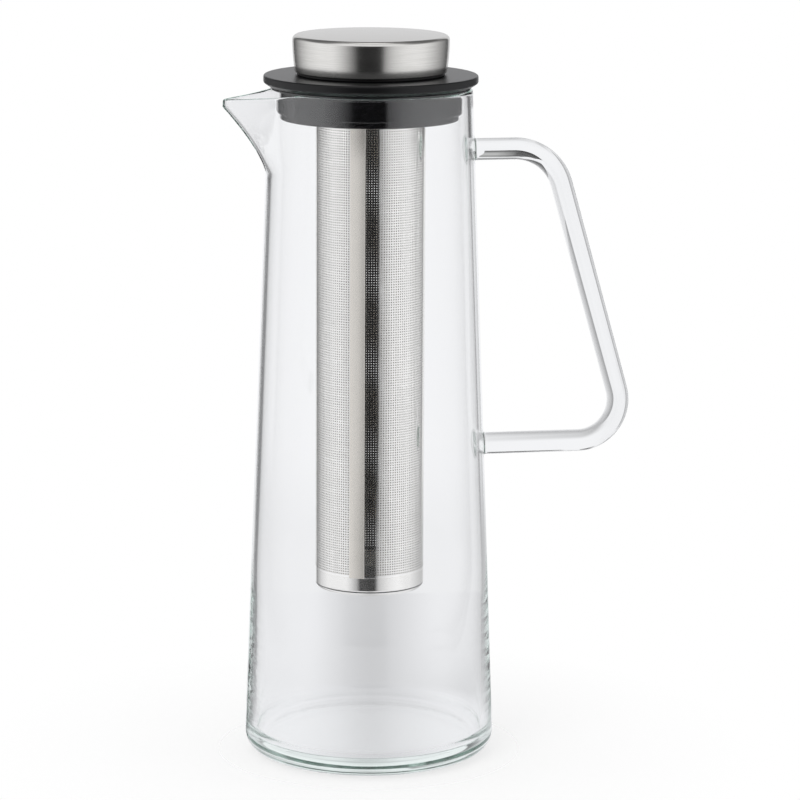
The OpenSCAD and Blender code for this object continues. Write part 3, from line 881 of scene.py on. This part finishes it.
rod_panels = [
    (-180, 0.94), (-171.5, 0.94), (-170.5, 0.3), (-166, 0.52), (-158, 0.66), (-145, 0.78), (-125, 0.92),
    (-95, 1.0), (180, 0.94),
]
through_panels = [
    (-180, 0.94), (-153, 0.94), (-147, 0.74), (-135, 0.8), (-115, 0.92), (-95, 0.97), (95, 0.97), (110, 0.92),
    (125, 0.8), (138, 0.68), (142, 0.9), (146, 0.94), (180, 0.94),
]
floor_panels = [
    (-180, 0.88), (105, 0.88), (125, 0.6), (139, 0.5), (150, 0.62), (160, 0.78), (170, 0.88), (180, 0.88),
]
floor_gap = [(-180, 1.0), (-163, 1.0), (-160, 0.17), (-148, 0.34), (-130, 0.9), (-115, 1.0), (180, 1.0)]
slit_width = [(-180, 0.0), (-75, 0.0), (-50, 1.0), (48, 1.0), (70, 0.0), (180, 0.0)]
print("panels:", len(panels), "stops for mirrors,", len(glass_panels), "for glass")


# %% Light by angle, by path and by distance
def cool_white(level):
    """The slightly cool white of the panels at a level."""
    return (0.98 * level, 0.981 * level, level, 1)


def angle_ramp(tree, share, levels):
    """Grey levels at angles of a full turn, as a ramp over its share: the first level also ends the turn."""
    ramp = add_node(tree, "ShaderNodeValToRGB", {"Fac": share})
    stops = ramp.color_ramp.elements
    stops[0].position, stops[1].position = 0.0, 1.0
    for degrees, level in levels[1:-1]:
        stops.new((degrees + 180) / 360).color = cool_white(level)
    stops[0].color = stops[-1].color = cool_white(levels[0][1])
    return ramp.outputs["Color"]


def camera_turn(tree, left=0.0):
    """The object's coordinates turned so that x points to the camera, their height, and the share of a full turn
    about a point that lies a distance to the left of the axis."""
    turn = add_node(tree, "ShaderNodeMapping", {
        "Vector": own_place(tree), "Location": (0, left, 0),
        "Rotation": (0, 0, -math.atan2(camera_place.y, camera_place.x)),
    })
    x, y, height = parts(tree, turn.outputs["Vector"])
    share = spread(tree, maths(tree, "ARCTAN2", y, x), 0.0, 1.0, -math.pi, math.pi)
    return turn.outputs["Vector"], height, share


def straight_path(tree):
    """Two masks: 1 on a path that no surface has mirrored, and 1 on such a path through two walls."""
    path = light_path(tree)
    unmirrored = maths(tree, "LESS_THAN", path["Glossy Depth"], 0.5)
    deep = maths(tree, "GREATER_THAN", path["Transmission Depth"], 2.5)
    return unmirrored, both(tree, deep, unmirrored)


def backdrop_shade(tree, place, middle, squeeze, lowest):
    """A soft shade low behind the pitcher: the lowest level at its middle, 1 beyond a squeezed distance of 1."""
    away = vector_maths(tree, "MULTIPLY", vector_maths(tree, "SUBTRACT", place, middle), squeeze)
    return spread(tree, vector_maths(tree, "LENGTH", away), lowest, 1.0, soft=True)


# %% Round wall of panels and gaps, in metres
wall_r_m, wall_top_m, wall_foot_m = 0.24, 0.75, -0.02
low_to_middle, lid_to_middle = (0.03, 0.08), (0.222, 0.208)
above_slit, middle_to_high = (0.325, 0.355), (0.36, 0.45)
rim_middle_m, rim_half_m, slit_white, horizon_white = 0.24, 0.035, 0.96, 0.885
wall_shade = (0, 0, 0), (0, 30, 8), 0.74


def panel_wall(cols=128):
    """A round upright wall: (R cos t, R sin t, z)."""
    t = full_turn(cols)
    z = np.array([wall_foot_m, wall_top_m])[:, None]
    points = xyz(wall_r_m * np.cos(t), wall_r_m * np.sin(t), z)
    return stage_sheet("panel_wall", points.reshape(-1, 3), band_faces(2, cols, False))


def panel_light():
    """Brightness by the angle from the camera's side, by height, and by the path that the light has taken."""
    made, tree = empty_material("panel_light")
    place, height, share = camera_turn(tree)
    unmirrored, two_walls = straight_path(tree)
    in_glass = light_path(tree)["Is Transmission Ray"]
    raised, below_lid, over_slit, high_up = (
        spread(tree, height, 0.0, 1.0, *heights, soft=True)
        for heights in (low_to_middle, lid_to_middle, above_slit, middle_to_high)
    )
    colour, glass_colour, low_colour, high_colour, rod_colour, through_colour, slit = (
        angle_ramp(tree, share, levels)
        for levels in (panels, glass_panels, low_panels, high_panels, rod_panels, through_panels, slit_width)
    )
    colour = mixed(tree, both(tree, below_lid, in_glass), colour, glass_colour)
    colour = mixed(tree, raised, low_colour, colour)
    colour = mixed(tree, high_up, colour, high_colour)
    colour = mixed(tree, both(tree, over_slit, slit), colour, cool_white(slit_white))
    left_half = maths(tree, "LESS_THAN", share, 0.5)
    colour = mixed(tree, both(tree, left_half, unmirrored), colour, rod_colour)
    over_rim = both(tree, between(tree, height, rim_middle_m, rim_half_m), unmirrored)
    clear_view = mixed(tree, raised, cool_white(horizon_white), through_colour)
    colour = mixed(tree, either(tree, over_rim, two_walls), colour, clear_view)
    on_surface(tree, glow(tree, backdrop_shade(tree, place, *wall_shade), colour))
    return made


wall_of_light = panel_wall()
dress(panel_light(), wall_of_light)
mirrors_only(wall_of_light)

# %% [markdown]
# ### Ceiling and card
# A disc closes the wall above, like a soft light over the table. A dark card stands upright behind the
# handle, because the photograph shows a dark streak inside the rod's upper arm.

# %% Ceiling with a soft light, and a dark card behind the handle
def ceiling():
    """The disc over the wall, dark round its bright middle."""
    disc = stage_disc("ceiling", wall_r_m, wall_top_m)
    made, tree = empty_material("ceiling_light")
    on_surface(tree, glow(tree, spread(tree, from_axis(tree, own_place(tree)), 1.0, 0.3, 0.12, 0.15)))
    dress(made, disc)
    mirrors_only(disc)


def dark_card():
    """An upright card behind the handle's upper arm, in the plane y = 0.225 - 0.55 x, with paler folds."""
    x = np.array([0.082, 0.090, 0.098, 0.108, 0.122, 0.128, 0.116, 0.096, 0.082])
    z = np.array([0.237, 0.237, 0.237, 0.237, 0.240, 0.270, 0.320, 0.335, 0.330])
    card = stage_sheet("dark_card", xyz(x, 0.225 - 0.55 * x, z), np.arange(len(x))[None, :])
    made, tree = empty_material("dark_card")
    place = own_place(tree)
    across, _, up = parts(tree, place)
    folds = drawn_noise(tree, place, (25, 25, 120), 2.0, 0.5)
    pale_end = spread(tree, across, 0.8, 0.14, 0.088, 0.099)
    rising = spread(tree, up, 0.25, 1.0, 0.242, 0.262)
    shade = glow(tree, both(tree, folds, both(tree, pale_end, rising)))
    clear = add_node(tree, "ShaderNodeBsdfTransparent").outputs["BSDF"]
    on_surface(tree, mixed_shader(tree, straight_path(tree)[1], shade, clear))
    dress(made, card)
    mirrors_only(card, glossy=False)


ceiling()
dark_card()

# %% [markdown]
# ### Floor, world and lamp
# The floor is pale and lets the white behind it through, so only a light shadow is left round the foot.
# Mirrors and glass see it evenly lit, a little darker behind the pitcher, with a dark gap beside the
# left edge of the body. The world is white, and one soft lamp gives metal and plastic their form.

# %% Floor and world
floor_r_m, floor_z_m, left_edge_m = 0.9, -0.0004, 0.95 * foot_r * MM
shadow_fade, boards_start = (0.7, 1.0, 0.045, 0.16), (0.0, 1.0, 0.075, 0.09)
floor_shade = (0, 0.003, 0), (0, 26, 0), 0.76


def pale_floor():
    """A flat disc just under the foot, which fades to white for the camera."""
    floor = stage_disc("pale_floor", floor_r_m, floor_z_m)
    made, tree = empty_material("pale_floor")
    place, _, share = camera_turn(tree)
    _, _, left_edge_share = camera_turn(tree, left_edge_m)
    unmirrored, two_walls = straight_path(tree)
    path = light_path(tree)
    distance = vector_maths(tree, "LENGTH", place)
    plain = add_node(tree, "ShaderNodeBsdfDiffuse", {"Color": (0.95, 0.95, 0.95, 1)}).outputs["BSDF"]
    clear = add_node(tree, "ShaderNodeBsdfTransparent").outputs["BSDF"]
    seen = mixed_shader(tree, spread(tree, distance, *shadow_fade), plain, clear)
    beyond = both(tree, spread(tree, distance, *boards_start), spread(tree, two_walls, 1.0, 0.5))
    boards = mixed(tree, beyond, (0.88, 0.88, 0.905, 1), angle_ramp(tree, share, floor_panels))
    gap = either(tree, angle_ramp(tree, left_edge_share, floor_gap), spread(tree, unmirrored, 0.0, 0.92))
    even = glow(tree, both(tree, backdrop_shade(tree, place, *floor_shade), gap), boards)
    mirrored = either(tree, path["Is Glossy Ray"], path["Is Transmission Ray"])
    on_surface(tree, mixed_shader(tree, mirrored, seen, even))
    dress(made, floor)


def white_world():
    """White where the camera, a mirror or glass looks, and a little less as light on the object."""
    world = bpy.data.worlds.new("white_world")
    bpy.context.scene.world = world
    world.use_nodes = True
    tree = world.node_tree
    tree.nodes.clear()
    path = light_path(tree)
    seen = either(tree, either(tree, path["Is Camera Ray"], path["Is Glossy Ray"]), path["Is Transmission Ray"])
    strength = spread(tree, seen, 0.85, 1.0)
    sky = add_node(tree, "ShaderNodeBackground", {"Color": (1, 1, 1, 1), "Strength": strength})
    add_node(tree, "ShaderNodeOutputWorld", {"Surface": sky.outputs["Background"]})
    print("world:", world.name)


pale_floor()
white_world()

# %% A square soft lamp that looks at the middle of the pitcher
lamp_place, lamp_aim = Vector((-0.7, -0.9, 1.0)), Vector((0, 0, 0.14))
lamp = bpy.data.objects.new("key_lamp", bpy.data.lights.new("key_lamp", "AREA"))
bpy.context.scene.collection.objects.link(lamp)
lamp.data.size = 0.7
lamp.data.energy = 6.0
lamp.location = lamp_place
lamp.rotation_euler = (lamp_aim - lamp_place).to_track_quat("-Z", "Y").to_euler()
lamp.visible_glossy = False
print("lamp:", lamp.name, lamp.data.energy, "W")

# %% View and light paths
settings = bpy.context.scene.view_settings
settings.view_transform = "Standard"
cycles = bpy.context.scene.cycles
cycles.max_bounces = cycles.transmission_bounces = cycles.glossy_bounces = 96
cycles.transparent_max_bounces = 40
print("view transform:", settings.view_transform)
